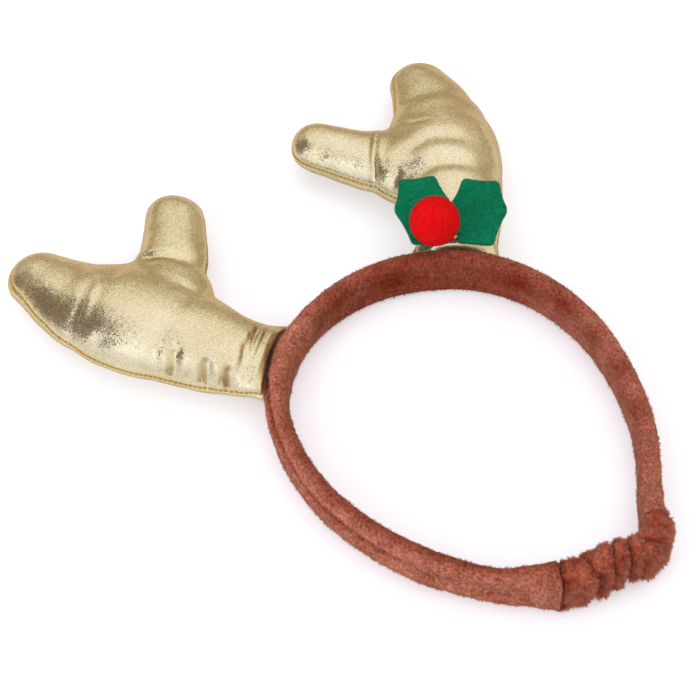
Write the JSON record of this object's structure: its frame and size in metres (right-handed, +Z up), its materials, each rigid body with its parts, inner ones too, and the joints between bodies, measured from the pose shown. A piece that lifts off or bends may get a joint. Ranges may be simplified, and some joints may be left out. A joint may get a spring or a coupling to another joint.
{
  "type": "antler headband",
  "caption": "Plush padded headband closed by a gathered elastic sleeve, with stuffed gold antlers sewn into its outer seam and felt holly at the root of one of them; worn on the head.",
  "frame": {"origin": "Middle of the footprint, on the table that the headband lies on", "axes": "+X to the side with the holly, +Y from the elastic sleeve to the antlers, +Z up off the table"},
  "size_m": [0.2298, 0.2734, 0.0452],
  "materials": {
    "brown_plush": "short matte pile, rubbed darker where it is pressed",
    "gold_cloth": "pale gold foil-coated cloth, satin with a fine speckle",
    "green_felt": "matte pressed felt",
    "red_felt": "matte needle-felted wool"
  },
  "bodies": {
    "root": {"band": "brown_plush", "elastic_sleeve": "brown_plush", "antler_right": "gold_cloth", "antler_left": "gold_cloth", "holly_leaf_outer": "green_felt", "holly_leaf_inner": "green_felt", "berry": "red_felt"}
  },
  "joints": []
}
